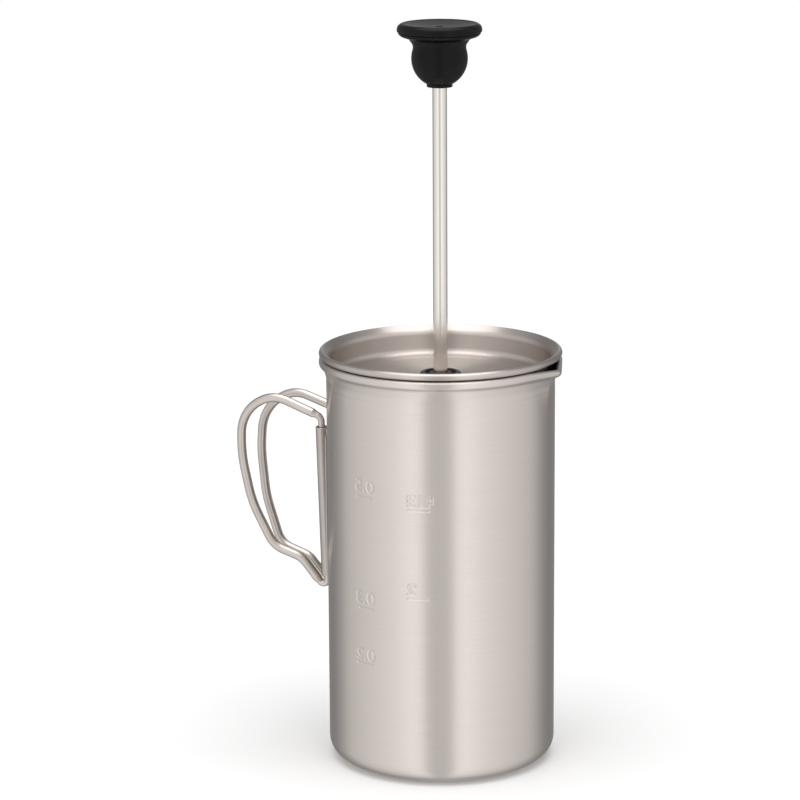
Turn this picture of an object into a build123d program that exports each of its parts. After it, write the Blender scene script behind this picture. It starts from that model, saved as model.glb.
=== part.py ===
"""French press: a drawn metal pot with a folding wire handle, a dished lid and a plunger.

Millimetres. +Z is up, the origin is the middle of the flat underside of the pot.
The pouring lip points along +X and the handle along -X, so XZ is the plane of symmetry.
The plunger is modelled fully raised, and both handle loops stand open.
"""

import os
from math import acos, cos, hypot, radians, sin, sqrt, tan

from build123d import *

# ---- Driving dimensions -------------------------------------------------------------
vessel_radius = 40.0  # outside of the straight wall
vessel_height = 144.3  # top of the rolled rim
wall = 0.5  # sheet of the pot and of the lid
floor_thickness = 0.6
base_corner = 6.8  # outside radius between wall and base
flare_height = 6.3  # the wall opens outwards over this height below the rim
rim_overhang = 2.5  # how far the rolled rim stands out from the wall
rim_width = 2.3
rim_height = 2.8
rim_bite = 0.3  # the wall runs this far into the rolled rim
spout_height = 18.3  # the lip is pulled out of this height of wall
spout_reach = 2.6  # how far the tip stands out past the round rim
spout_tip_radius = 3.0
spout_start_reach = 0.05  # the lip's first outline is all but round
spout_share = 0.45  # of the reach that the lip has where the flare starts

seat_gap = 0.3  # clearance between parts that rest on each other
slide_gap = 0.08  # radial clearance of a shaft in its bore
fit_gap = 0.02  # radial clearance of a pressed or screwed fit
weld_gap = 0.05

# Handle
sleeve_stand = 3.0  # sleeve axis outside the wall of the pot, at mid height
sleeve_spread = 5.0  # sleeve axis from the plane of symmetry, at mid height
sleeve_slope = 0.065  # the two sleeves spread apart towards the top, per mm of height
sleeve_drop = 27.7  # top of the sleeves below the rim of the pot
sleeve_length = 55.6
sleeve_wall = 0.6
bracket_sheet = 0.6
bracket_margin = 11.3  # the welded plate reaches this far past each sleeve axis
bracket_inset = 1.0  # the plate stops this far inside the ends of the sleeves
wire_diameter = 3.2
pin_diameter = 2.4  # the wire's ends are drawn down to this
pin_length = 8.0  # inside the sleeve, at each end
pin_bend = 2.6  # centre line radius where the wire turns out of the top of the sleeve
foot_bend = 1.7  # the same at the bottom, where the wire is folded back further
neck_length = 1.6  # taper from pin to wire
loop_splay = 2.2  # each loop stands this many degrees away from the plane of symmetry
loop_reach = 31.6  # widest corner of the front loop's outline from the sleeve axis
rear_loop_reach = 30.8  # the two loops are bent by hand, and differ a little
loop_rise = 10.3  # highest corner of the outline above the sleeves

# Lid
lid_clearance = 0.5  # between the lid's wall and the inside of the pot
lid_depth = 10.4  # from the top of the lid's rim down to its floor
lid_corner = 2.2  # inside radius at the edge of the lid's floor
lid_rim_radius = 1.25  # cross-section of the rolled rim

# Lid bushing, its retainer and its seal
bushing_flange_radius = 7.25
bushing_flange_height = 2.05
bushing_stem_radius = 5.0
bushing_stem_length = 3.6  # below the underside of the lid's floor
bushing_ring_width = 1.6
bushing_groove_depth = 0.8
retainer_radius = 8.5
retainer_thickness = 1.2
seal_section = 1.5
seal_depth = 1.3  # top of the seal's groove below the top of the lid's floor

# Plunger
rod_diameter = 5.0
rod_thread_diameter = 4.0
knob_rise = 100.0  # underside of the knob above the bushing when the plunger is raised
knob_disc_radius = 14.7
knob_ball_radius = 9.7
knob_neck_radius = 9.05
knob_collar_radius = 4.45
knob_ball_height = 9.0  # middle of the ball above the underside of the knob
knob_neck_height = 13.8
knob_seam_height = 18.6  # joint between the knob's body and its cap
knob_cap_height = 3.3
knob_dish_depth = 1.3
knob_rim_width = 2.2  # round the dish
knob_spigot_radius = 7.0
knob_spigot_depth = 2.0
insert_radius = 3.6
insert_length = 12.0
insert_depth = 2.2  # bottom of the insert above the underside of the knob

# Filter stack
mesh_clearance = 0.3  # screen to the inside of the pot
mesh_thickness = 0.3
coil_radius = 2.1  # outside of the coil that rings the spring plate
coil_wire = 0.5
collar_radius = 5.0
collar_height = 3.3
plate_thickness = 0.5
cross_radius = 33.0
cross_thickness = 0.6
cross_rib = 7.0  # width of the four arms
boss_radius = 5.0
boss_height = 4.0
washer_radius = 4.2
washer_thickness = 0.6
nut_flats = 7.0
nut_height = 3.0
thread_stick_out = 0.6  # rod past the nut

# ---- Sizes worked out from the driving dimensions --------------------------------------
bore_radius = vessel_radius - wall
rod_radius = rod_diameter / 2
thread_radius = rod_thread_diameter / 2
rim_outside = vessel_radius + rim_overhang
rim_centre_radius = rim_outside - rim_width / 2
rim_centre_z = vessel_height - rim_height / 2
flare_start_z = vessel_height - flare_height
spout_start_z = vessel_height - spout_height

lid_rim_z = vessel_height + seat_gap + lid_rim_radius
lid_rim_centre = rim_outside - lid_rim_radius
lid_top_z = lid_rim_z + lid_rim_radius
lid_floor_z = lid_top_z - lid_depth
lid_under_z = lid_floor_z - wall
lid_wall_outside = bore_radius - lid_clearance
bushing_top_z = lid_floor_z + bushing_flange_height
bushing_bottom_z = lid_under_z - bushing_stem_length
seal_top_z = lid_floor_z - seal_depth

knob_z = bushing_top_z + knob_rise
insert_z = knob_z + insert_depth
collar_top_z = bushing_bottom_z - seat_gap
plate_top_z = collar_top_z - collar_height
plate_under_z = plate_top_z - plate_thickness
mesh_under_z = plate_under_z - mesh_thickness
cross_under_z = mesh_under_z - cross_thickness
boss_bottom_z = cross_under_z - boss_height
washer_bottom_z = boss_bottom_z - washer_thickness
nut_bottom_z = washer_bottom_z - nut_height
rod_bottom_z = nut_bottom_z - thread_stick_out

mesh_outside = bore_radius - mesh_clearance
coil_gap = 0.2  # between the coil and the screen that is dished round it
coil_centre_radius = mesh_outside - mesh_thickness - coil_gap - coil_radius
coil_centre_z = (plate_top_z + plate_under_z) / 2

pin_radius = pin_diameter / 2
wire_radius = wire_diameter / 2
sleeve_bore = pin_radius + slide_gap
sleeve_outside = sleeve_bore + sleeve_wall
sleeve_top = vessel_height - sleeve_drop
sleeve_bottom = sleeve_top - sleeve_length
sleeve_middle = (sleeve_bottom + sleeve_top) / 2
sleeve_distance = vessel_radius + sleeve_stand

FRONT, REAR = -1, 1  # which side of the plane of symmetry a sleeve is on


def finish(part, name):
    """Label one piece and write it as the node of that name."""
    part.label = name
    export_step(part, f"parts/{name}.step")


def ring(inner, outer, low, high):
    """Half section of a plain ring round Z, in a sketch on the XZ plane."""
    with Locations(((inner + outer) / 2, (low + high) / 2)):
        Rectangle(outer - inner, high - low)


def circles(builder):
    """The circular edges of the piece that is being built."""
    return builder.edges().filter_by(GeomType.CIRCLE)


def lip_outline(radius, reach, tip):
    """Closed outline of a round rim with its two sides drawn out to a rounded tip on +X."""
    tip_x = radius + reach - tip
    turn = acos((radius - tip) / tip_x)
    round_x, round_y = radius * cos(turn), radius * sin(turn)
    near_x, near_y = tip_x + tip * cos(turn), tip * sin(turn)
    ThreePointArc((round_x, round_y), (-radius, 0), (round_x, -round_y))
    Line((round_x, -round_y), (near_x, -near_y))
    ThreePointArc((near_x, -near_y), (tip_x + tip, 0), (near_x, near_y))
    Line((near_x, near_y), (round_x, round_y))


def lip_sections(inset):
    """Outlines of the upper part of the pot's wall, or with an inset of the space inside it."""
    rim_wall = rim_centre_radius - rim_width / 2 + wall + rim_bite
    levels = (
        (spout_start_z, vessel_radius, spout_start_reach),
        (flare_start_z, vessel_radius, spout_share * spout_reach),
        (rim_centre_z, rim_wall, spout_reach),
    )
    sections = []
    for height, radius, reach in levels:
        with BuildSketch(Plane.XY.offset(height)) as section:
            with BuildLine():
                lip_outline(radius - inset, reach, spout_tip_radius - inset)
            make_face()
        sections.append(section.sketch)
    return sections


os.makedirs("parts", exist_ok=True)

# ---- Vessel ----------------------------------------------------------------------------
# Deep-drawn pot. The lower part is revolved, the top is lofted out to the pouring lip,
# and the rolled rim follows the outline of the lip.
with BuildPart() as vessel:
    with BuildSketch(Plane.XZ):
        with BuildLine():
            inner_corner = base_corner - wall
            Polyline(
                (bore_radius, floor_thickness + inner_corner),
                (bore_radius, spout_start_z),
                (vessel_radius, spout_start_z),
                (vessel_radius, base_corner),
            )
            RadiusArc((vessel_radius, base_corner), (vessel_radius - base_corner, 0), base_corner)
            Polyline((vessel_radius - base_corner, 0), (0, 0), (0, floor_thickness),
                     (bore_radius - inner_corner, floor_thickness))
            RadiusArc(
                (bore_radius - inner_corner, floor_thickness),
                (bore_radius, floor_thickness + inner_corner),
                -inner_corner,
            )
        make_face()
    revolve(axis=Axis.Z)
    loft(lip_sections(0), ruled=True)
    loft(lip_sections(wall), ruled=True, mode=Mode.SUBTRACT)
    with BuildLine(Plane.XY.offset(rim_centre_z)) as rim_path:
        lip_outline(rim_centre_radius, spout_reach, spout_tip_radius)
    rim_start = rim_path.line @ 0
    rim_direction = rim_path.line % 0
    with BuildSketch(Plane(rim_start, x_dir=(0, 0, 1), z_dir=rim_direction)):
        RectangleRounded(rim_height, rim_width, rim_width / 2 - 0.05)
    sweep(path=rim_path.line)

# ---- Handle bracket --------------------------------------------------------------------
# One sheet spot-welded to the pot. Two folds of it stand off as the hinge sleeves, whose
# axes spread apart towards the top, and it reaches past them as flanges.


def sleeve_axis(side):
    """Direction of a sleeve, pointing up."""
    return Vector(0, side * sleeve_slope, 1).normalized()


def sleeve_point(side, height):
    """Point of a sleeve's axis, measured along it from mid height."""
    middle = Vector(-sleeve_distance, side * sleeve_spread, sleeve_middle)
    return middle + sleeve_axis(side) * (height - sleeve_middle)


def sleeve_plane(side, height):
    """Plane square to a sleeve, with its x direction pointing away from the pot."""
    return Plane(sleeve_point(side, height), x_dir=(-1, 0, 0), z_dir=sleeve_axis(side))


plate_outside = vessel_radius + weld_gap + bracket_sheet
with BuildPart() as handle_bracket:
    half_spread = sleeve_slope * sleeve_length / 2
    low_width = sleeve_spread - half_spread + bracket_margin
    high_width = sleeve_spread + half_spread + bracket_margin
    with BuildSketch(Plane.YZ.offset(-plate_outside)):
        Polygon(
            (-low_width, sleeve_bottom + bracket_inset),
            (low_width, sleeve_bottom + bracket_inset),
            (high_width, sleeve_top - bracket_inset),
            (-high_width, sleeve_top - bracket_inset),
            align=None,
        )
    extrude(amount=vessel_radius / 2)
    with BuildSketch(Plane.XY):
        Circle(plate_outside)
    extrude(amount=vessel_height, mode=Mode.INTERSECT)
    for side in (FRONT, REAR):
        neck_reach = sleeve_distance - vessel_radius + bracket_sheet
        with BuildSketch(sleeve_plane(side, sleeve_bottom)):
            Circle(sleeve_outside)
            with Locations((-neck_reach / 2, 0)):
                Rectangle(neck_reach, 2 * bracket_sheet)
        extrude(amount=sleeve_length)
    with BuildSketch(Plane.XY):
        Circle(vessel_radius + weld_gap)
    extrude(amount=vessel_height, mode=Mode.SUBTRACT)
    for side in (FRONT, REAR):
        with BuildSketch(sleeve_plane(side, sleeve_bottom)):
            Circle(sleeve_bore)
        extrude(amount=sleeve_length, mode=Mode.SUBTRACT)

# ---- Handle loops ----------------------------------------------------------------------
# Each loop is one bent wire in a plane through its sleeve's axis. Both ends are drawn
# down to pins that turn in the sleeve.
loop_top = sleeve_top + 3.6  # where the runs beyond the two pins meet the sleeve's axis
loop_foot = sleeve_bottom - 6.6
# Corners of the two grips: distance from the sleeve's axis, height and radius of the bend.
front_grip = (
    (18.0, sleeve_top + loop_rise, 12.0),  # crown
    (loop_reach - 0.7, sleeve_top + 3.8, 15.0),  # shoulder
    (loop_reach, sleeve_top - 13.1, 50.0),
    (loop_reach - 3.2, sleeve_bottom + 25.2, 40.0),
    (20.5, sleeve_bottom + 9.2, 9.0),  # elbow
    (9.65, sleeve_bottom + 5.75, 9.0),  # knee
)
rear_grip = (
    (17.0, sleeve_top + loop_rise - 1.7, 12.0),
    (rear_loop_reach - 0.7, sleeve_top + 2.2, 15.0),
    (rear_loop_reach, sleeve_top - 14.0, 50.0),
    (rear_loop_reach - 2.4, sleeve_bottom + 24.5, 40.0),
    (22.0, sleeve_bottom + 7.6, 8.0),
    (10.5, sleeve_bottom + 4.2, 8.0),
)
pin_spare = 0.1  # straight wire between a bend and the taper


def along(start, end, distance):
    """Point on the way from start to end, at a distance from start."""
    length = hypot(end[0] - start[0], end[1] - start[1])
    share = distance / length
    return (start[0] + share * (end[0] - start[0]), start[1] + share * (end[1] - start[1]))


def taper_start(corner, target, bend, heading):
    """Where a taper starts past the bend of a wire that comes up (1) or down (-1) a sleeve."""
    rise = (target[1] - corner[1]) / hypot(target[0] - corner[0], target[1] - corner[1])
    turn = acos(heading * rise)
    return bend * tan(turn / 2) + pin_spare


def loop_plane(side):
    """The loop's plane: x away from the pot, y up along the sleeve, origin at height 0."""
    splay = radians(loop_splay)
    outward = Vector(-cos(splay), side * sin(splay), 0)
    up = sleeve_axis(side)
    outward = (outward - up * outward.dot(up)).normalized()
    origin = sleeve_point(side, 0)
    return Plane(origin, x_dir=outward, z_dir=outward.cross(up))


def wire_path(plane, points, bends):
    """Straight runs joined by arcs, in a loop's plane."""
    with BuildLine(plane) as path:
        FilletPolyline(*points, radius=bends)
    return path.line


def wire_end(path, radius):
    """Round section square to a path at its start."""
    with BuildSketch(Plane(path @ 0, z_dir=path % 0)) as section:
        Circle(radius)
    return section.sketch


def neck_ends(plane, narrow, wide):
    """The two round sections of the taper between a pin and the wire."""
    low, high = plane.from_local_coords(Vector(*narrow)), plane.from_local_coords(Vector(*wide))
    with BuildSketch(Plane(low, z_dir=high - low)) as pin_section:
        Circle(pin_radius)
    with BuildSketch(Plane(high, z_dir=high - low)) as wire_section:
        Circle(wire_radius)
    return [pin_section.sketch, wire_section.sketch]


def make_loop(side, corners):
    """One handle loop."""
    grip_points = [(reach, height) for reach, height, bend in corners]
    grip_bends = [bend for reach, height, bend in corners]
    plane = loop_plane(side)
    crown, knee = grip_points[0], grip_points[-1]
    top_corner, foot_corner = (0, loop_top), (0, loop_foot)
    top_taper = taper_start(top_corner, crown, pin_bend, 1)
    top_narrow = along(top_corner, crown, top_taper)
    top_wide = along(top_corner, crown, top_taper + neck_length)
    foot_taper = taper_start(foot_corner, knee, foot_bend, -1)
    foot_narrow = along(foot_corner, knee, foot_taper)
    foot_wide = along(foot_corner, knee, foot_taper + neck_length)
    top_pin_end = (0, sleeve_top - pin_length)
    foot_pin_end = (0, sleeve_bottom + pin_length)
    top_pin = wire_path(plane, [top_pin_end, top_corner, top_narrow], [pin_bend])
    grip = wire_path(plane, [top_wide, *grip_points, foot_wide], grip_bends)
    foot_pin = wire_path(plane, [foot_narrow, foot_corner, foot_pin_end], [foot_bend])
    with BuildPart() as loop:
        sweep(wire_end(top_pin, pin_radius), path=top_pin)
        loft(neck_ends(plane, top_narrow, top_wide))
        sweep(wire_end(grip, wire_radius), path=grip)
        loft(neck_ends(plane, foot_narrow, foot_wide))
        sweep(wire_end(foot_pin, pin_radius), path=foot_pin)
    return loop


handle_loop_front = make_loop(FRONT, front_grip)
handle_loop_rear = make_loop(REAR, rear_grip)

# ---- Lid -------------------------------------------------------------------------------
# Pressed dish that drops into the pot. Its rolled rim rests on the rim of the pot.
with BuildPart() as lid:
    wall_inside = lid_wall_outside - wall
    floor_edge = wall_inside - lid_corner
    corner_z = lid_floor_z + lid_corner
    flare_z = vessel_height - 1.0
    hole = bushing_stem_radius + fit_gap
    with BuildSketch(Plane.XZ):
        with BuildLine():
            Line((hole, lid_floor_z), (floor_edge, lid_floor_z))
            RadiusArc((floor_edge, lid_floor_z), (wall_inside, corner_z), -lid_corner)
            Polyline(
                (wall_inside, corner_z),
                (wall_inside, flare_z),
                (lid_rim_centre, lid_top_z),
                (lid_rim_centre, lid_top_z - wall),
                (lid_wall_outside, flare_z - 0.2),
                (lid_wall_outside, corner_z),
            )
            RadiusArc((lid_wall_outside, corner_z), (floor_edge, lid_under_z), lid_corner + wall)
            Polyline((floor_edge, lid_under_z), (hole, lid_under_z), (hole, lid_floor_z))
        make_face()
        with Locations((lid_rim_centre, lid_rim_z)):
            Circle(lid_rim_radius)
    revolve(axis=Axis.Z)

# ---- Lid bushing, retainer and seal ----------------------------------------------------
# Moulded guide for the rod. The ring under the floor of the lid holds it, and a soft
# ring in its groove wipes the rod.
bushing_bore = rod_radius + slide_gap
seal_outside = rod_radius + slide_gap + seal_section
with BuildPart() as lid_bushing:
    with BuildSketch(Plane.XZ):
        ring(bushing_bore, bushing_flange_radius, lid_floor_z, bushing_top_z)
        ring(bushing_bore, bushing_stem_radius, bushing_bottom_z, lid_floor_z)
        groove_outside = bushing_flange_radius - bushing_ring_width
        groove_inside = rod_radius + bushing_ring_width
        groove_z = bushing_top_z - bushing_groove_depth
        with Locations(((groove_inside + groove_outside) / 2, (groove_z + bushing_top_z) / 2)):
            Rectangle(groove_outside - groove_inside, bushing_groove_depth, mode=Mode.SUBTRACT)
        with Locations(((bushing_bore + seal_outside) / 2, seal_top_z - seal_section / 2)):
            Rectangle(
                seal_outside - bushing_bore + 2 * slide_gap,
                seal_section + 2 * slide_gap,
                mode=Mode.SUBTRACT,
            )
    revolve(axis=Axis.Z)
    fillet(circles(lid_bushing).group_by(Axis.Z)[-1].sort_by(SortBy.RADIUS)[-1], 0.6)

with BuildPart() as bushing_retainer:
    with BuildSketch(Plane.XZ):
        ring(bushing_stem_radius + fit_gap, retainer_radius, lid_under_z - retainer_thickness,
             lid_under_z)
    revolve(axis=Axis.Z)
    chamfer(circles(bushing_retainer).group_by(Axis.Z)[0].sort_by(SortBy.RADIUS)[-1], 0.4)

with BuildPart() as rod_seal:
    with BuildSketch(Plane.XZ):
        with Locations(((rod_radius + slide_gap + seal_outside) / 2, seal_top_z - seal_section / 2)):
            RectangleRounded(seal_section, seal_section, seal_section / 3)
    revolve(axis=Axis.Z)

# ---- Plunger rod -----------------------------------------------------------------------
with BuildPart() as plunger_rod:
    with BuildSketch(Plane.XZ):
        ring(0, thread_radius, rod_bottom_z, plate_top_z)
        ring(0, rod_radius, plate_top_z, insert_z)
        ring(0, thread_radius, insert_z, insert_z + insert_length - 1)
    revolve(axis=Axis.Z)
    chamfer(circles(plunger_rod).group_by(Axis.Z)[0], 0.4)
    chamfer(circles(plunger_rod).group_by(Axis.Z)[-1], 0.4)

# ---- Knob ------------------------------------------------------------------------------
seam_z = knob_z + knob_seam_height
knob_top_z = seam_z + knob_cap_height
with BuildPart() as knob_body:
    ball_z = knob_z + knob_ball_height
    neck_z = knob_z + knob_neck_height
    with BuildSketch(Plane.XZ):
        with BuildLine():
            Polyline((0, knob_z), (knob_collar_radius, knob_z), (knob_collar_radius, knob_z + 0.9))
            collar_corner = (knob_collar_radius + 0.25, knob_z + 1.1)
            Line((knob_collar_radius, knob_z + 0.9), collar_corner)
            ThreePointArc(
                collar_corner,
                (knob_ball_radius - 1.7, knob_z + 4.15),
                (knob_ball_radius, ball_z),
            )
            Spline(
                (knob_ball_radius, ball_z),
                (knob_neck_radius, neck_z),
                (knob_neck_radius + 1.6, seam_z - 2.1),
                tangents=((0, 1), (0.8, 0.6)),
            )
            under_rim = (knob_disc_radius - 1.6, seam_z - 1.2)
            Line((knob_neck_radius + 1.6, seam_z - 2.1), under_rim)
            ThreePointArc(under_rim, (knob_disc_radius - 0.75, seam_z - 0.65),
                          (knob_disc_radius - 0.25, seam_z))
            Polyline((knob_disc_radius - 0.25, seam_z), (0, seam_z), (0, knob_z))
        make_face()
    revolve(axis=Axis.Z)
    with BuildSketch(Plane.XZ):
        ring(0, rod_radius + fit_gap, knob_z, insert_z)
        ring(0, insert_radius + fit_gap, insert_z, insert_z + insert_length)
        ring(0, knob_spigot_radius + fit_gap, seam_z - knob_spigot_depth, seam_z)
    revolve(axis=Axis.Z, mode=Mode.SUBTRACT)

with BuildPart() as knob_cap:
    dish_edge = knob_disc_radius - knob_rim_width
    dish_radius = (dish_edge**2 + knob_dish_depth**2) / (2 * knob_dish_depth)
    dish_centre_z = knob_top_z - knob_dish_depth + dish_radius
    dish_middle = (dish_edge / 2, dish_centre_z - sqrt(dish_radius**2 - (dish_edge / 2) ** 2))
    with BuildSketch(Plane.XZ):
        with BuildLine():
            foot = (knob_disc_radius - 0.25, seam_z)
            shoulder = (knob_disc_radius - 0.45, seam_z + 1.9)
            crest = (dish_edge, knob_top_z)
            Polyline((0, seam_z - knob_spigot_depth + fit_gap),
                     (knob_spigot_radius, seam_z - knob_spigot_depth + fit_gap),
                     (knob_spigot_radius, seam_z), foot)
            ThreePointArc(foot, (knob_disc_radius, seam_z + 0.9), shoulder)
            ThreePointArc(shoulder, (knob_disc_radius - 1.1, knob_top_z - 0.45), crest)
            ThreePointArc(crest, dish_middle, (0, knob_top_z - knob_dish_depth))
            Line((0, knob_top_z - knob_dish_depth), (0, seam_z - knob_spigot_depth + fit_gap))
        make_face()
    revolve(axis=Axis.Z)

with BuildPart() as knob_insert:
    with BuildSketch(Plane.XZ):
        ring(thread_radius + fit_gap, insert_radius, insert_z, insert_z + insert_length)
    revolve(axis=Axis.Z)
    chamfer(circles(knob_insert).sort_by(SortBy.RADIUS)[-2:], 0.3)

# ---- Filter collar and spring plate ----------------------------------------------------
with BuildPart() as filter_collar:
    with BuildSketch(Plane.XZ):
        ring(rod_radius + fit_gap, collar_radius, plate_top_z, collar_top_z)
    revolve(axis=Axis.Z)
    chamfer(circles(filter_collar).group_by(Axis.Z)[-1].sort_by(SortBy.RADIUS)[-1], 0.5)

# Holes of the spring plate: radius of each ring of holes, and how many it has.
plate_holes = ((11.5, 8), (18.0, 14), (24.5, 20), (30.5, 26))
plate_hole_radius = 1.9
with BuildPart() as filter_spring_plate:
    with BuildSketch(Plane.XY.offset(plate_under_z)):
        Circle(coil_centre_radius)
        Circle(thread_radius + fit_gap, mode=Mode.SUBTRACT)
        for ring_radius, count in plate_holes:
            with PolarLocations(ring_radius, count):
                Circle(plate_hole_radius, mode=Mode.SUBTRACT)
    extrude(amount=plate_thickness)

# ---- Filter spring ---------------------------------------------------------------------
# Close-wound coil bent into a ring, which the edge of the spring plate enters from inside.
with BuildPart() as filter_spring:
    with BuildSketch(Plane.XZ):
        with Locations((coil_centre_radius, coil_centre_z)):
            Circle(coil_radius)
            Circle(coil_radius - coil_wire, mode=Mode.SUBTRACT)
        with Locations((coil_centre_radius - coil_radius, coil_centre_z)):
            Rectangle(2 * coil_radius, plate_thickness + 4 * coil_gap, mode=Mode.SUBTRACT)
    revolve(axis=Axis.Z)

# ---- Filter mesh -----------------------------------------------------------------------
# Woven screen, flat between the plates and dished round the outside of the coil.
with BuildPart() as filter_mesh:
    dish_inner = coil_radius + coil_gap
    dish_outer = dish_inner + mesh_thickness
    with BuildSketch(Plane.XZ):
        with Locations((coil_centre_radius, coil_centre_z)):
            Circle(dish_outer)
            Circle(dish_inner, mode=Mode.SUBTRACT)
        cut_height = 2 * dish_outer
        with Locations((coil_centre_radius, plate_under_z + cut_height / 2)):
            Rectangle(2 * dish_outer, cut_height, mode=Mode.SUBTRACT)
        flat_edge = coil_centre_radius - sqrt(dish_outer**2 - (coil_centre_z - mesh_under_z) ** 2)
        ring(thread_radius + fit_gap, flat_edge + 0.1, mesh_under_z, plate_under_z)
        ring(mesh_outside - mesh_thickness, mesh_outside, plate_under_z, coil_centre_z + coil_radius)
    revolve(axis=Axis.Z)

# ---- Cross plate -----------------------------------------------------------------------
window_inside, window_outside = 8.5, cross_radius - 5
with BuildPart() as filter_cross_plate:
    with BuildSketch(Plane.XZ):
        ring(thread_radius + fit_gap, cross_radius, cross_under_z, mesh_under_z)
        ring(thread_radius + fit_gap, boss_radius, boss_bottom_z, cross_under_z)
    revolve(axis=Axis.Z)
    with BuildSketch(Plane.XY.offset(cross_under_z)):
        Circle(window_outside)
        Circle(window_inside, mode=Mode.SUBTRACT)
        with PolarLocations(0, 2, 0, 180):
            Rectangle(2 * cross_radius, cross_rib, mode=Mode.SUBTRACT)
    extrude(amount=cross_thickness, mode=Mode.SUBTRACT)

# ---- Washer and nut --------------------------------------------------------------------
with BuildPart() as lock_washer:
    with BuildSketch(Plane.XZ):
        ring(thread_radius + fit_gap, washer_radius, washer_bottom_z, boss_bottom_z)
    revolve(axis=Axis.Z)

with BuildPart() as filter_nut:
    with BuildSketch(Plane.XY.offset(nut_bottom_z)):
        RegularPolygon(nut_flats / 2, 6, major_radius=False)
        Circle(thread_radius + fit_gap, mode=Mode.SUBTRACT)
    extrude(amount=nut_height)

# ---- Output ----------------------------------------------------------------------------
pieces = {
    "vessel": vessel,
    "handle_bracket": handle_bracket,
    "handle_loop_front": handle_loop_front,
    "handle_loop_rear": handle_loop_rear,
    "lid": lid,
    "lid_bushing": lid_bushing,
    "bushing_retainer": bushing_retainer,
    "rod_seal": rod_seal,
    "plunger_rod": plunger_rod,
    "knob_body": knob_body,
    "knob_cap": knob_cap,
    "knob_insert": knob_insert,
    "filter_collar": filter_collar,
    "filter_spring_plate": filter_spring_plate,
    "filter_spring": filter_spring,
    "filter_mesh": filter_mesh,
    "filter_cross_plate": filter_cross_plate,
    "lock_washer": lock_washer,
    "filter_nut": filter_nut,
}
for node_name, piece in pieces.items():
    finish(piece.part, node_name)
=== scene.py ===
"""Looks of the french press: drawn metal pot, folding wire handle, dished lid and plunger."""

from math import acos, atan2, cos, pi, radians, sin, sqrt

import bmesh
import bpy
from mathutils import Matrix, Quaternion, Vector
from mathutils.bvhtree import BVHTree


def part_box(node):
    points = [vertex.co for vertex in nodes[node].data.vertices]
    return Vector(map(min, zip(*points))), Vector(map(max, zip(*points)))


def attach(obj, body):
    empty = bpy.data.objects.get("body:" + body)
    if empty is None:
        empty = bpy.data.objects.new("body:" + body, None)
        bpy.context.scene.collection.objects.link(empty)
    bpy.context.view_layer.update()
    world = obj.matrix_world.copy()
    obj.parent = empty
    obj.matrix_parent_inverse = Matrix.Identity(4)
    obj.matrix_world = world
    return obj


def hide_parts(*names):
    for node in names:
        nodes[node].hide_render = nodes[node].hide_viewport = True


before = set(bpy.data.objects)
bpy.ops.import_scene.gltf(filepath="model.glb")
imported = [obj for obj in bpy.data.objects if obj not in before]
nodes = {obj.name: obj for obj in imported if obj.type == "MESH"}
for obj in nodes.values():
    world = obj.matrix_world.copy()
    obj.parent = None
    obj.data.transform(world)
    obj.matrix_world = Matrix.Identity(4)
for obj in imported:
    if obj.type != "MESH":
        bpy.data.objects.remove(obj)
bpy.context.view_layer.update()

# ---- Camera ---------------------------------------------------------------------------
# A long lens a little above the pot, turned so that the handle is on the left and the
# pouring lip at the right front.
camera_turn = radians(24)  # from the plane square to the handle
camera_height = radians(13.07)
camera_distance = 1.2022
camera_aim = Vector((-0.0130, -0.0058, 0.1286))
camera_back = Vector((
    sin(camera_turn) * cos(camera_height),
    -cos(camera_turn) * cos(camera_height),
    sin(camera_height),
))
bpy.ops.object.camera_add(location=camera_aim + camera_distance * camera_back)
camera = bpy.context.object
camera.rotation_mode = "QUATERNION"
camera_roll = radians(-0.348)
level_view = (-camera_back).to_track_quat("-Z", "Y")
camera.rotation_quaternion = level_view @ Quaternion((0, 0, 1), camera_roll)
camera.data.lens = 154.6
camera.data.sensor_width = 36
camera.data.clip_end = 50
bpy.context.scene.camera = camera


# ---- Studio ---------------------------------------------------------------------------
# Plain pale floor in a white room. Two tall soft lights stand left and right of the
# camera, with a gap between them, and the room darkens towards the back.
def add(tree, kind, inputs=None, **settings):
    """Adds a node. Inputs go by name or number, and are values or another node's output."""
    node = tree.nodes.new(kind)
    for key, value in settings.items():
        setattr(node, key, value)
    for key, value in (inputs or {}).items():
        if isinstance(value, bpy.types.NodeSocket):
            tree.links.new(value, node.inputs[key])
        else:
            node.inputs[key].default_value = value
    return node


def paint(code):
    """An sRGB hex colour as linear red, green, blue and alpha."""
    channels = [int(code[i:i + 2], 16) / 255 for i in (0, 2, 4)]
    linear = [c / 12.92 if c <= 0.04045 else ((c + 0.055) / 1.055) ** 2.4 for c in channels]
    return (*linear, 1.0)


def blank_material(name):
    """A material with its node tree and its shader, ready to be wired."""
    material = bpy.data.materials.new(name)
    material.use_nodes = True
    return material, material.node_tree, material.node_tree.nodes["Principled BSDF"]


floor_radius = 0.85  # beyond it everything is white
floor_drop = 0.0002  # so that the floor and the pot's base never coincide
bpy.ops.mesh.primitive_circle_add(
    vertices=96, radius=floor_radius, fill_type="NGON", location=(0, 0, -floor_drop))
floor = bpy.context.object
floor.name = "studio_floor"
floor_matter, tree, shader = blank_material("matt_white_floor")
shader.inputs["Base Color"].default_value = paint("f4f4f4")
shader.inputs["Roughness"].default_value = 0.9
shader.inputs["Specular IOR Level"].default_value = 0.1
floor.data.materials.append(floor_matter)
floor.visible_glossy = False

bpy.ops.object.light_add(type="AREA", location=(0, 0, 2.2))
overhead = bpy.context.object
overhead.data.shape = "DISK"
overhead.data.size = 2.4
overhead.data.energy = 30

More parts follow.
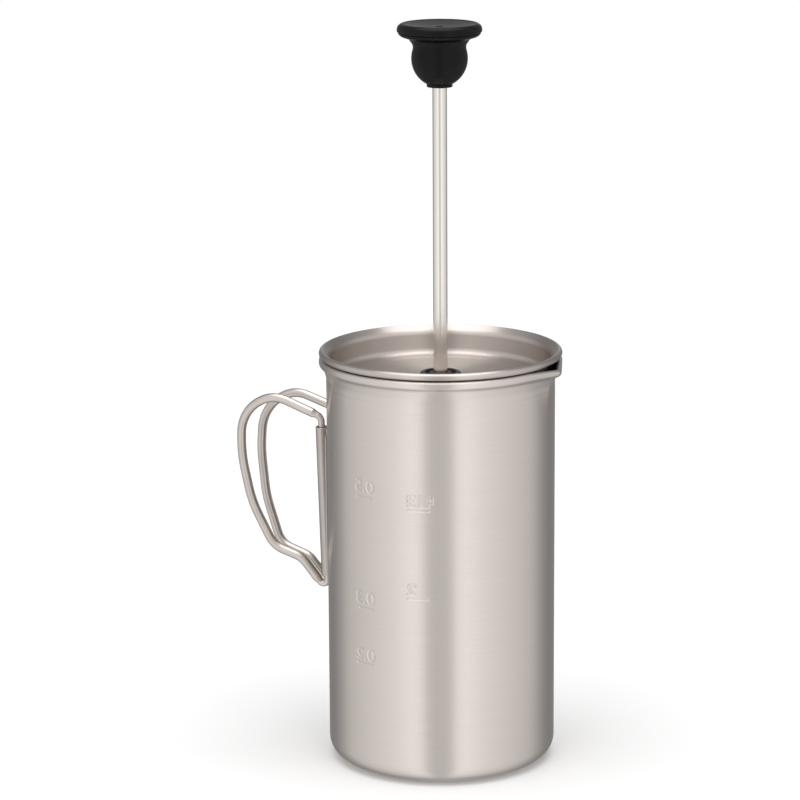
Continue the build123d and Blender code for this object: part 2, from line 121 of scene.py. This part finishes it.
room = bpy.data.worlds.new("studio_room")
bpy.context.scene.world = room
room.use_nodes = True
tree = room.node_tree
tree.nodes.clear()
direction = add(tree, "ShaderNodeTexCoord").outputs["Generated"]
level_way = add(tree, "ShaderNodeVectorMath", {0: direction, 1: (1, 1, 0)}, operation="MULTIPLY")
unit = add(tree, "ShaderNodeVectorMath", {0: level_way.outputs[0]}, operation="NORMALIZE")
gap_turn = camera_turn - radians(3)  # the gap between the lights is a little to the left
towards_gap = (sin(gap_turn), -cos(gap_turn), 0)
facing = add(tree, "ShaderNodeVectorMath", {0: unit.outputs[0], 1: towards_gap}, operation="DOT_PRODUCT")
from_gap = add(tree, "ShaderNodeMath", {0: facing.outputs["Value"]}, operation="ARCCOSINE")
round_share = add(tree, "ShaderNodeMath", {0: from_gap.outputs[0], 1: pi}, operation="DIVIDE")
ramp = add(tree, "ShaderNodeValToRGB", {"Fac": round_share.outputs[0]})
# Degrees round from the gap, and how bright the room is there.
room_light = (
    (0, 0.72), (9, 0.74), (13, 0.84), (19, 1.20), (29, 1.26), (38, 1.17), (47, 1.08),
    (63, 0.99), (84, 0.88), (107, 0.74), (122, 0.47), (140, 0.28), (165, 0.28), (180, 0.60),
)
while len(ramp.color_ramp.elements) < len(room_light):
    ramp.color_ramp.elements.new(0.5)
for stop, (angle, level) in zip(ramp.color_ramp.elements, room_light):
    stop.position = angle / 180
    stop.color = (level, level, level, 1)
ray = add(tree, "ShaderNodeLightPath")
seen = add(tree, "ShaderNodeMix", {
    0: ray.outputs["Is Camera Ray"], 6: ramp.outputs[0], 7: (1, 1, 1, 1)}, data_type="RGBA")
background = add(tree, "ShaderNodeBackground", {"Color": seen.outputs[2], "Strength": 1.0})
add(tree, "ShaderNodeOutputWorld", {"Surface": background.outputs[0]})
bpy.context.scene.view_settings.view_transform = "Standard"

# ---- Pot ------------------------------------------------------------------------------
# Deep-drawn from one metal sheet, 0.5 mm thick, with a rolled rim, a pulled pouring lip
# and litre and cup marks pressed into the wall. Brushed round and round on a lathe.
MM = 0.001
same_place = 0.001 * MM  # closer than this, two places are the same one
smooth_angle = radians(32)  # flatter edges than this are shaded smooth


def turned(name, outline, steps=192, segments=8):
    """Draws a half outline of (radius, height, corner radius) in mm and spins it round Z."""
    bpy.ops.object.select_all(action="DESELECT")
    bpy.ops.mesh.primitive_plane_add(size=MM)
    piece = bpy.context.object
    piece.name = piece.data.name = name
    bpy.ops.object.mode_set(mode="EDIT")
    bpy.ops.mesh.select_mode(type="VERT")
    bpy.ops.mesh.merge(type="CENTER")
    points = [Vector((radius, 0, height)) * MM for radius, height, _ in outline]
    bpy.ops.transform.translate(value=points[0])
    for start, end in zip(points, points[1:]):
        bpy.ops.mesh.extrude_vertices_move(TRANSFORM_OT_translate={"value": end - start})
    for i in range(1, len(outline) - 1):
        corner_radius = outline[i][2]
        if not corner_radius:
            continue
        bend = (points[i] - points[i - 1]).angle(points[i + 1] - points[i])
        setback = corner_radius * MM * sin(bend / 2) / cos(bend / 2)
        mesh = bmesh.from_edit_mesh(piece.data)
        for vertex in mesh.verts:
            vertex.select = (vertex.co - points[i]).length < same_place
        mesh.select_flush_mode()
        bmesh.update_edit_mesh(piece.data)
        bpy.ops.mesh.bevel(offset=setback, offset_type="OFFSET", segments=segments, affect="VERTICES")
    bpy.ops.mesh.select_all(action="SELECT")
    bpy.ops.mesh.spin(steps=steps, angle=2 * pi, center=(0, 0, 0), axis=(0, 0, 1))
    bpy.ops.mesh.select_all(action="SELECT")
    bpy.ops.mesh.remove_doubles(threshold=2 * same_place)
    bpy.ops.mesh.normals_make_consistent(inside=False)
    bpy.ops.object.mode_set(mode="OBJECT")
    bpy.ops.object.shade_smooth_by_angle(angle=smooth_angle)
    return piece


wall_outside, wall_inside = 40.0, 39.5
rim_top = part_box("vessel")[1].z / MM
rim_outside = -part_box("vessel")[0].y / MM
# The wall has a row of faces at each mm where the marks stand.
wall_rows = [(wall_outside, height, 0) for height in range(38, 114)]
pot = turned("pot_shell", [
    (0, 0.35, 0),
    (30, 0.35, 2),
    (32.5, 0, 1.2),
    (wall_outside, 0, 6.8),
    *wall_rows,
    (wall_outside, 118, 0),
    (wall_outside, 123, 0),
    (wall_outside, 126, 0),
    (wall_outside, 128.5, 0),
    (wall_outside, 131, 0),
    (wall_outside, 133.5, 0),
    (wall_outside, 134.2, 0),
    (wall_outside - 0.07, 134.6, 0.4),
    (wall_outside, 135.0, 0),
    (wall_outside, 135.7, 0),
    (wall_outside, 137.4, 5),
    (41.0, rim_top - 3.5, 2.0),
    (rim_outside, rim_top - 2.5, 1.15),
    (rim_outside, rim_top, 1.15),
    (40.2, rim_top, 1.1),
    (40.2, rim_top - 3.0, 0.8),
    (wall_inside, 138.0, 3),
    (wall_inside, 133.5, 0),
    (wall_inside, 126, 0),
    (wall_inside, 0.6, 6.3),
    (0, 0.95, 0),
], steps=256)
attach(pot, "pot")
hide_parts("vessel")

# The pouring lip: above its lowest point the wall leaves the circle along two tangents,
# which meet in a small round at the front.
lip_bottom, lip_middle = 126.0, rim_top - 1.4
lip_reach = 2.6
lip_droop = 1.2  # the rim sinks this much at the tip
lip_half_angle = radians(24)
tip_round_start = 38.2  # the small round at the tip has the wall's radius less this
tip_crowding, lip_swell = 1.8, 2.3  # powers: vertices crowd at the tip, and the lip swells upwards
for vertex in pot.data.vertices:
    x, y, z = vertex.co / MM
    radius, angle = sqrt(x * x + y * y), atan2(y, x)
    if radius < 30 or abs(angle) > lip_half_angle:
        continue
    # More of the vertices stand near the tip.
    angle = lip_half_angle * (abs(angle) / lip_half_angle) ** tip_crowding * (1 if angle > 0 else -1)
    rise = min(1, max(0, (z - lip_bottom) / (lip_middle - lip_bottom)))
    reach = lip_reach * rise ** lip_swell
    if reach > 0:
        tip_radius = radius - tip_round_start
        tip_centre = radius + reach - tip_radius
        tangent = acos((radius - tip_radius) / tip_centre)
        tip_turn = atan2(tip_radius * sin(tangent), tip_centre + tip_radius * cos(tangent))
        if abs(angle) < tip_turn:
            across = tip_centre * sin(angle)
            radius = tip_centre * cos(angle) + sqrt(tip_radius ** 2 - across ** 2)
        elif abs(angle) < tangent:
            radius = radius / cos(tangent - abs(angle))
    z -= lip_droop * rise ** 3 * (1 - abs(angle) / lip_half_angle) ** 1.5
    vertex.co = Vector((radius * cos(angle), radius * sin(angle), z)) * MM

# The marks are pressed in from inside, where they read the right way round. A flat
# stencil of each one, rolled out as (way round the wall, height), says where the wall sinks.
mark_depth, mark_slope = 0.16, 0.26
on_wall_radius = (wall_outside - 0.1) * MM
bpy.ops.object.select_all(action="DESELECT")
bpy.ops.object.text_add()
glyphs = bpy.context.object


def stencil_number(body, left, right, low, high):
    """Corners and faces of a number between two angles in degrees and two heights in mm."""
    glyphs.data.body = body
    bpy.context.view_layer.update()
    flat = bpy.data.meshes.new_from_object(glyphs)
    across = [vertex.co.x for vertex in flat.vertices]
    upright = [vertex.co.y for vertex in flat.vertices]
    wide = radians(right - left) * wall_outside / (max(across) - min(across))
    tall = (high - low) / (max(upright) - min(upright))
    start = radians(right) * wall_outside
    corners = [
        Vector((start - wide * (vertex.co.x - min(across)), low + tall * (vertex.co.y - min(upright)), 0))
        for vertex in flat.vertices
    ]
    return corners, [list(face.vertices) for face in flat.polygons]


def stencil_bar(left, right, low, high):
    """The same for a plain bar."""
    start, end = radians(left) * wall_outside, radians(right) * wall_outside
    corners = [
        Vector((start, low, 0)),
        Vector((end, low, 0)),
        Vector((end, high, 0)),
        Vector((start, high, 0)),
    ]
    return corners, [[0, 1, 2, 3]]


# Litres on the left; cups on the right, where a small cup stands next to the 3. Each row
# ends with the left and right angle in degrees and the low and high edge in mm.
line_height = 0.5
marks = [
    stencil_number("0.5", -113.8, -102.0, 103.1, 107.3),
    stencil_bar(-113.2, -103.6, 100.9, 100.9 + line_height),
    stencil_number("0.3", -113.8, -102.0, 63.3, 67.5),
    stencil_bar(-112.0, -103.2, 61.2, 61.2 + line_height),
    stencil_number("0.2", -113.8, -102.0, 42.8, 47.0),
    stencil_bar(-113.6, -103.2, 41.2, 41.2 + line_height),
    stencil_number("3", -83.7, -79.1, 99.9, 104.2),
    stencil_bar(-83.4, -72.5, 98.5, 98.5 + line_height),
    stencil_bar(-77.4, -76.5, 100.0, 104.1),
    stencil_bar(-73.4, -72.5, 100.0, 104.1),
    stencil_bar(-77.4, -72.5, 100.0, 100.6),
    stencil_bar(-72.5, -70.6, 103.0, 103.5),
    stencil_bar(-72.5, -70.6, 101.3, 101.8),
    stencil_bar(-71.4, -70.6, 101.3, 103.5),
    stencil_number("2", -83.8, -79.2, 68.7, 72.9),
    stencil_bar(-83.4, -73.2, 67.1, 67.1 + line_height),
]
bpy.data.objects.remove(glyphs)
stencil_corners, stencil_faces = [], []
for corners, faces in marks:
    stencil_faces += [[index + len(stencil_corners) for index in face] for face in faces]
    stencil_corners += corners
stencil = BVHTree.FromPolygons(stencil_corners, stencil_faces)


def rolled_out(place):
    """A place on the wall as (way round, height, 0) in mm."""
    return Vector((atan2(place.y, place.x) * wall_outside, place.z / MM, 0))


bpy.ops.object.select_all(action="DESELECT")
bpy.context.view_layer.objects.active = pot
pot.select_set(True)
for within, cuts in ((1.2, 1), (0.7, 3)):
    bpy.ops.object.mode_set(mode="EDIT")
    bpy.ops.mesh.select_mode(type="FACE")
    bpy.ops.mesh.select_all(action="DESELECT")
    mesh = bmesh.from_edit_mesh(pot.data)
    for face in mesh.faces:
        middle = face.calc_center_median()
        on_wall = middle.xy.length > on_wall_radius and middle.y < 0
        if on_wall and stencil.find_nearest(rolled_out(middle), within)[0]:
            face.select_set(True)
    bmesh.update_edit_mesh(pot.data)
    bpy.ops.mesh.subdivide(number_cuts=cuts)
    bpy.ops.object.mode_set(mode="OBJECT")
for vertex in pot.data.vertices:
    if vertex.co.xy.length < on_wall_radius or vertex.co.y > 0:
        continue
    distance = stencil.find_nearest(rolled_out(vertex.co), mark_slope)[3]
    if distance is None:
        continue
    near = 1 - distance / mark_slope
    sunk = mark_depth * near * near * (3 - 2 * near)
    vertex.co.xy *= 1 - sunk * MM / vertex.co.xy.length


def spun_metal(name, colour, shade, line_width, roughness, grain=1.0, stretch=0.9):
    """Satin metal brushed on a lathe: fine lines run round the pot's axis.
    The lines stretch each reflection up and down into soft upright bands."""
    material, tree, shader = blank_material(name)
    place = add(tree, "ShaderNodeTexCoord").outputs["Object"]
    level = add(tree, "ShaderNodeVectorMath", {0: place, 1: (1, 1, 0)}, operation="MULTIPLY")
    radius = add(tree, "ShaderNodeVectorMath", {0: level.outputs[0]}, operation="LENGTH")
    apart = add(tree, "ShaderNodeSeparateXYZ", {0: place})
    across = add(tree, "ShaderNodeMath", {0: radius.outputs["Value"], 1: apart.outputs["Z"]}, operation="ADD")
    fine = 1 / (line_width * MM)
    lines = add(tree, "ShaderNodeMath", {0: across.outputs[0], 1: fine}, operation="MULTIPLY")
    run = 1 / (18 * MM)  # a brush line is some 18 mm long
    along = add(tree, "ShaderNodeVectorMath", {0: place, 1: (run, run, 0)}, operation="MULTIPLY")
    along_apart = add(tree, "ShaderNodeSeparateXYZ", {0: along.outputs[0]})
    grid = add(tree, "ShaderNodeCombineXYZ", {
        "X": along_apart.outputs["X"], "Y": along_apart.outputs["Y"], "Z": lines.outputs[0]})
    brushing = add(tree, "ShaderNodeTexNoise", {
        "Vector": grid.outputs[0], "Scale": 1.0, "Detail": 3.0, "Roughness": 0.6})
    clouds = add(tree, "ShaderNodeTexNoise", {
        "Vector": place, "Scale": 1 / (30 * MM), "Detail": 2.0, "Roughness": 0.5})
    tone = add(tree, "ShaderNodeMix", {
        0: brushing.outputs[0], 6: paint(shade), 7: paint(colour)}, data_type="RGBA")
    shine = add(tree, "ShaderNodeMapRange", {
        "Value": clouds.outputs[0], "To Min": roughness - 0.03, "To Max": roughness + 0.04})
    rough = add(tree, "ShaderNodeMapRange", {
        "Value": brushing.outputs[0], "To Min": -0.03, "To Max": 0.03})
    both = add(tree, "ShaderNodeMath", {0: shine.outputs[0], 1: rough.outputs[0]}, operation="ADD")
    bump = add(tree, "ShaderNodeBump", {
        "Height": brushing.outputs[0], "Strength": 0.05 * grain, "Distance": 0.05 * MM})
    tangent = add(tree, "ShaderNodeTangent", direction_type="RADIAL", axis="Z")
    tree.links.new(tone.outputs[2], shader.inputs["Base Color"])
    tree.links.new(both.outputs[0], shader.inputs["Roughness"])
    tree.links.new(bump.outputs[0], shader.inputs["Normal"])
    tree.links.new(tangent.outputs[0], shader.inputs["Tangent"])
    shader.inputs["Metallic"].default_value = 1.0
    shader.inputs["Anisotropic"].default_value = stretch
    shader.inputs["Anisotropic Rotation"].default_value = 0.25
    return material


pot_metal = spun_metal("spun_satin_metal", "dcd4ce", "ccc4be", 0.22, 0.31)
pot.data.materials.append(pot_metal)


# ---- Handle bracket -------------------------------------------------------------------
# One sheet, 0.6 mm thick, spot-welded to the pot with its two flanges. Two folds of it
# stand off as the sleeves that the wires turn in, spread a little towards the top.
def fine_metal(name, colour, shade, grit, roughness):
    """Metal without a direction, as tumbling or fine blasting leaves it: a soft even
    gloss, broken by a fine grain and by slow changes of tone."""
    material, tree, shader = blank_material(name)
    place = add(tree, "ShaderNodeTexCoord").outputs["Object"]
    grain = add(tree, "ShaderNodeTexNoise", {
        "Vector": place, "Scale": 1 / (grit * MM), "Detail": 2.0, "Roughness": 0.6})
    clouds = add(tree, "ShaderNodeTexNoise", {"Vector": place, "Scale": 1 / (7 * MM), "Detail": 2.0})
    tone = add(tree, "ShaderNodeMix", {
        0: clouds.outputs[0], 6: paint(shade), 7: paint(colour)}, data_type="RGBA")
    shine = add(tree, "ShaderNodeMapRange", {
        "Value": clouds.outputs[0], "To Min": roughness - 0.05, "To Max": roughness + 0.05})
    bump = add(tree, "ShaderNodeBump", {"Height": grain.outputs[0], "Strength": 0.1, "Distance": 0.02 * MM})
    tree.links.new(tone.outputs[2], shader.inputs["Base Color"])
    tree.links.new(shine.outputs[0], shader.inputs["Roughness"])
    tree.links.new(bump.outputs[0], shader.inputs["Normal"])
    shader.inputs["Metallic"].default_value = 1.0
    return material


bracket_low, bracket_high = (corner.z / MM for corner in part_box("handle_bracket"))
lean_rise = 0.06  # a leaning sleeve's edge reaches this far past its axis
sleeve_low, sleeve_high = bracket_low + lean_rise, bracket_high - lean_rise
sleeve_middle = (sleeve_low + sleeve_high) / 2
sleeve_away, sleeve_apart, sleeve_slope = 43.0, 5.0, 0.065
sleeve_outside, sleeve_bore = 2.15, 1.6
sheet, flange = 0.6, 11.3
weld_gap = 0.05
plate_radius = wall_outside + weld_gap + sheet
bpy.ops.object.select_all(action="DESELECT")
bpy.ops.mesh.primitive_grid_add(x_subdivisions=80, y_subdivisions=110, size=1)
bracket = bpy.context.object
bracket.name = bracket.data.name = "bracket_sheet"
plate_low, plate_high = sleeve_low + 1, sleeve_high - 1
weld_margin, weld_inset = 4, 3  # from the ends and from the sides of the plate
weld_radius, weld_depth = 1.15, 0.16
weld_heights = (plate_low + weld_margin, sleeve_middle, plate_high - weld_margin)
for vertex in bracket.data.vertices:
    height = plate_low + (vertex.co.y + 0.5) * (plate_high - plate_low)
    half = sleeve_apart + sleeve_slope * (height - sleeve_middle) + flange
    y = -2 * vertex.co.x * half
    # Electrodes leave a shallow round dent at each weld.
    from_weld = min(sqrt((abs(y) - half + weld_inset) ** 2 + (height - weld) ** 2) for weld in weld_heights)
    turned_by = y / plate_radius
    radius = plate_radius - weld_depth * max(0, 1 - (from_weld / weld_radius) ** 4)
    vertex.co = Vector((-radius * cos(turned_by), radius * sin(turned_by), height)) * MM
bpy.ops.object.modifier_add(type="SOLIDIFY")
bracket.modifiers[0].thickness = sheet * MM * 0.9
bracket.modifiers[0].offset = -1
bpy.ops.object.modifier_apply(modifier=bracket.modifiers[0].name)
bpy.ops.object.mode_set(mode="EDIT")
bpy.ops.mesh.select_all(action="SELECT")
bpy.ops.mesh.normals_make_consistent(inside=False)
bpy.ops.object.mode_set(mode="OBJECT")
bpy.ops.object.modifier_add(type="BEVEL")
bracket.modifiers[0].width = 0.12 * MM
bracket.modifiers[0].segments = 2
bracket.modifiers[0].limit_method = "ANGLE"
bracket.modifiers[0].angle_limit = radians(50)
bpy.ops.object.modifier_apply(modifier=bracket.modifiers[0].name)
bpy.ops.object.shade_smooth_by_angle(angle=smooth_angle)
folds = [bracket]
layers_start, layers_end = sleeve_bore + 0.25, sleeve_away - plate_radius + 1.2
layers_width, layers_height = 2.5 * sheet, sleeve_high - sleeve_low - 1
for side, name in ((-1, "front_fold"), (1, "rear_fold")):
    fold = turned(name, [
        (sleeve_bore, sleeve_low - sleeve_middle, 0.1),
        (sleeve_outside, sleeve_low - sleeve_middle, 0.2),
        (sleeve_outside, sleeve_high - sleeve_middle, 0.2),
        (sleeve_bore, sleeve_high - sleeve_middle, 0.1),
        (sleeve_bore, sleeve_low - sleeve_middle, 0),
    ], steps=48, segments=3)
    # Where the fold closes, the two layers of the sheet run back to the plate.
    bpy.ops.mesh.primitive_cube_add(size=1)
    layers = bpy.context.object
    for vertex in layers.data.vertices:
        corner = vertex.co
        x = layers_start if corner.x < 0 else layers_end
        vertex.co = Vector((x, layers_width * corner.y, layers_height * corner.z)) * MM
    bpy.ops.object.modifier_add(type="BEVEL")
    layers.modifiers[0].width = 0.15 * MM
    layers.modifiers[0].segments = 2
    bpy.ops.object.modifier_apply(modifier=layers.modifiers[0].name)
    for part in (fold, layers):
        lean = Quaternion((1, 0, 0), atan2(-side * sleeve_slope, 1))
        for vertex in part.data.vertices:
            vertex.co = lean @ vertex.co + Vector((-sleeve_away, side * sleeve_apart, sleeve_middle)) * MM
        folds.append(part)
bpy.ops.object.select_all(action="DESELECT")
for part in folds:
    part.select_set(True)
bpy.context.view_layer.objects.active = bracket
bpy.ops.object.join()
bracket.data.materials.append(fine_metal("tumbled_sheet_metal", "c0b9b3", "aea6a0", 0.3, 0.36))
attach(bracket, "pot")
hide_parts("handle_bracket")


# ---- Handle loops ---------------------------------------------------------------------
# Two wires, 3.2 mm thick, bent cold, drawn down to pins at their ends and tumbled bright.
# On the real pot each turns in its sleeve, so the pair folds flat against it; this section only gives them
# their finish.
def refinish(node, material):
    """Gives a piece of the frame its finish."""
    nodes[node].data.materials.clear()
    nodes[node].data.materials.append(material)


wire_metal = fine_metal("tumbled_wire_metal", "d2cac4", "c0b8b1", 0.25, 0.33)
refinish("handle_loop_front", wire_metal)
refinish("handle_loop_rear", wire_metal)

# ---- Lid ------------------------------------------------------------------------------
# Pressed dish with a rolled rim that rests on the rim of the pot, brushed on a lathe too.
lid_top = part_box("lid")[1].z / MM
lid_depth = 10.4
lid_floor = lid_top - lid_depth
lid_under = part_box("lid")[0].z / MM
lid = turned("lid_dish", [
    (5.1, lid_under, 0),
    (39.0, lid_under, 2.7),
    (39.0, lid_top - 2.5, 2.0),
    (rim_outside, lid_top - 2.5, 1.24),
    (rim_outside, lid_top, 1.24),
    (41.15, lid_top, 1.1),
    (38.5, lid_top - 2.3, 2.6),
    (38.5, lid_floor, 2.4),
    (34.2, lid_floor, 0.4),
    (33.6, lid_floor - 0.18, 0.4),
    (5.1, lid_floor - 0.18, 0),
    (5.1, lid_under, 0),
], steps=256)
lid.data.materials.append(spun_metal("spun_lid_metal", "cbc3be", "bcb4ae", 0.22, 0.33))
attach(lid, "lid_set")
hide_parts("lid")

# ---- Lid bushing, retainer and seal ---------------------------------------------------
# Black moulded guide for the rod, held by a ring from below, with a soft wiper inside.
bushing_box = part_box("lid_bushing")
bushing_top = bushing_box[1].z / MM
bushing_bottom = bushing_box[0].z / MM
bushing = turned("rod_bushing", [
    (2.6, bushing_bottom, 0),
    (5.0, bushing_bottom, 0.3),
    (5.0, lid_floor, 0),
    (7.25, lid_floor, 0.1),
    (7.25, bushing_top, 0.8),
    (5.5, bushing_top, 0.5),
    (5.3, bushing_top - 0.9, 0.2),
    (4.1, bushing_top - 0.9, 0.2),
    (3.95, bushing_top - 0.15, 0.3),
    (2.6, bushing_top - 0.15, 0.3),
    (2.6, bushing_bottom, 0),
], steps=96)
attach(bushing, "lid_set")
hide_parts("lid_bushing")


def moulded_plastic(name, colour, roughness, grit, gloss=0.5):
    """Moulded plastic or rubber with a faint spark-eroded grain."""
    material, tree, shader = blank_material(name)
    place = add(tree, "ShaderNodeTexCoord").outputs["Object"]
    grain = add(tree, "ShaderNodeTexNoise", {"Vector": place, "Scale": 1 / (grit * MM), "Detail": 2.0})
    shine = add(tree, "ShaderNodeMapRange", {
        "Value": grain.outputs[0], "To Min": roughness - 0.05, "To Max": roughness + 0.05})
    bump = add(tree, "ShaderNodeBump", {"Height": grain.outputs[0], "Strength": 0.12, "Distance": 0.03 * MM})
    tree.links.new(shine.outputs[0], shader.inputs["Roughness"])
    tree.links.new(bump.outputs[0], shader.inputs["Normal"])
    shader.inputs["Base Color"].default_value = paint(colour)
    shader.inputs["IOR"].default_value = 1.49
    shader.inputs["Specular IOR Level"].default_value = gloss
    return material


black_plastic = moulded_plastic("moulded_black_plastic", "111011", 0.4, 0.35, 0.35)
bushing.data.materials.append(black_plastic)
refinish("bushing_retainer", spun_metal("turned_ring_metal", "c9c7c4", "b5b3b0", 0.2, 0.3))
refinish("rod_seal", moulded_plastic("moulded_silicone_rubber", "c9c8c4", 0.55, 0.5))

# ---- Plunger rod ----------------------------------------------------------------------
# Round bar, 5 mm thick, ground and polished between centres, with a thread at each end.
refinish("plunger_rod", spun_metal("ground_rod_metal", "e9e4de", "dcd7d1", 0.16, 0.2, 0.5, 0.6))

# ---- Knob -----------------------------------------------------------------------------
# Two mouldings: a ball-shaped grip with a wide rim, and a dished cap pressed in on top,
# with a small gate mark in the middle. A brass insert inside the grip takes the rod.
knob_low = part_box("knob_body")[0].z / MM
knob_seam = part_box("knob_body")[1].z / MM
knob_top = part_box("knob_cap")[1].z / MM
ball_height, ball_radius, ball_centre = 9.76, 9.98, -0.25
ball = []
for step in range(13):
    slope = radians(-60 + 6.2 * step)
    ball_level = knob_low + ball_height + ball_radius * sin(slope)
    ball.append((ball_centre + ball_radius * cos(slope), ball_level, 0))
grip = turned("knob_grip", [
    (2.52, knob_low, 0),
    (4.45, knob_low, 0.15),
    (4.45, knob_low + 0.95, 0.1),
    *ball,
    (8.95, knob_low + 14.1, 2.2),
    (10.65, knob_seam - 2.1, 1.6),
    (13.3, knob_seam - 1.2, 1.2),
    (14.45, knob_seam - 0.12, 0.3),
    (13.9, knob_seam, 0),
    (2.52, knob_seam, 0),
    (2.52, knob_low, 0),
], steps=128)
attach(grip, "plunger")
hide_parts("knob_body")
knob_plastic = moulded_plastic("moulded_knob_plastic", "080708", 0.34, 0.4, 0.16)
grip.data.materials.append(knob_plastic)
cap = turned("knob_dished_cap", [
    (0, knob_seam + 0.03, 0),
    (14.2, knob_seam + 0.03, 0.1),
    (14.68, knob_seam + 0.5, 0.5),
    (14.5, knob_seam + 2.3, 1.6),
    (12.9, knob_top, 1.2),
    (11.4, knob_top - 0.4, 4),
    (5, knob_top - 1.2, 18),
    (1.35, knob_top - 1.3, 0.1),
    (1.1, knob_top - 1.65, 0.15),
    (0, knob_top - 1.65, 0),
], steps=128)
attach(cap, "plunger")
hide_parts("knob_cap")
cap.data.materials.append(knob_plastic)
refinish("knob_insert", spun_metal("turned_brass", "d9b26a", "c49d57", 0.3, 0.3))

# ---- Filter stack ---------------------------------------------------------------------
# A collar and a perforated plate above a woven screen, a cross plate with a boss below
# it, and a lock washer and nut. All are stamped or turned from stainless steel.
turned_steel = spun_metal("turned_steel", "cfcdca", "bcbab7", 0.2, 0.28)
stamped_steel = fine_metal("stamped_steel", "cfcdca", "bfbdba", 0.3, 0.3)
refinish("filter_collar", turned_steel)
refinish("filter_spring_plate", stamped_steel)
refinish("filter_cross_plate", stamped_steel)
refinish("lock_washer", stamped_steel)
refinish("filter_nut", stamped_steel)

woven, tree, shader = blank_material("woven_steel_screen")
# The real weave has a wire every 0.2 mm. It is drawn at 0.6 mm, so that it shows.
wire_step = 0.6
place = add(tree, "ShaderNodeTexCoord").outputs["Object"]
scaled = add(tree, "ShaderNodeVectorMath", {0: place, "Scale": 2 * pi / (wire_step * MM)}, operation="SCALE")
ways = add(tree, "ShaderNodeSeparateXYZ", {0: scaled.outputs[0]})
warp = add(tree, "ShaderNodeMath", {0: ways.outputs["X"]}, operation="SINE")
weft = add(tree, "ShaderNodeMath", {0: ways.outputs["Y"]}, operation="SINE")
climb = add(tree, "ShaderNodeMath", {0: ways.outputs["Z"]}, operation="SINE")
cross = add(tree, "ShaderNodeMath", {0: warp.outputs[0], 1: weft.outputs[0]}, operation="MULTIPLY")
sides = add(tree, "ShaderNodeMath", {0: cross.outputs[0], 1: climb.outputs[0]}, operation="ADD")
weave = add(tree, "ShaderNodeMapRange", {"Value": sides.outputs[0], "From Min": -1.0, "From Max": 1.0})
# The colour darkens where the weave's bump is low. This is painted shade in the hollows under and between the
# wires; the wires themselves are one even steel.
tone = add(tree, "ShaderNodeMix", {
    0: weave.outputs[0], 6: paint("5c5b59"), 7: paint("d0cecb")}, data_type="RGBA")
bump = add(tree, "ShaderNodeBump", {"Height": weave.outputs[0], "Strength": 0.6, "Distance": 0.1 * MM})
tree.links.new(tone.outputs[2], shader.inputs["Base Color"])
tree.links.new(bump.outputs[0], shader.inputs["Normal"])
shader.inputs["Metallic"].default_value = 1.0
shader.inputs["Roughness"].default_value = 0.4
refinish("filter_mesh", woven)

# ---- Filter spring --------------------------------------------------------------------
# Fine spring wire wound into a long close coil, and its ends hooked to make a ring.
spring_low, spring_high = (corner.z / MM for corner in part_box("filter_spring"))
spring_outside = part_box("filter_spring")[1].x / MM
spring_wire = 0.5
winding_radius = (spring_high - spring_low - spring_wire) / 2
ring_radius = spring_outside - winding_radius - spring_wire / 2
windings, steps_each = 250, 10
line = bpy.data.curves.new("spring_line", "CURVE")
line.dimensions = "3D"
line.bevel_depth = spring_wire / 2 * MM
line.bevel_resolution = 1
spline = line.splines.new("POLY")
spline.points.add(windings * steps_each - 1)
for index, point in enumerate(spline.points):
    wound, round_ring = 2 * pi * index / steps_each, 2 * pi * index / (windings * steps_each)
    reach = ring_radius + winding_radius * cos(wound)
    height = (spring_low + spring_high) / 2 + winding_radius * sin(wound)
    point.co = (*(Vector((reach * cos(round_ring), reach * sin(round_ring), height)) * MM), 1)
spline.use_cyclic_u = True
coil = bpy.data.objects.new("filter_coil", line)
bpy.context.collection.objects.link(coil)
bpy.ops.object.select_all(action="DESELECT")
coil.select_set(True)
bpy.context.view_layer.objects.active = coil
bpy.ops.object.convert(target="MESH")
bpy.ops.object.shade_smooth()
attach(coil, "plunger")
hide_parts("filter_spring")
coil.data.materials.append(fine_metal("bright_spring_wire", "d8d6d3", "c6c4c1", 0.15, 0.22))
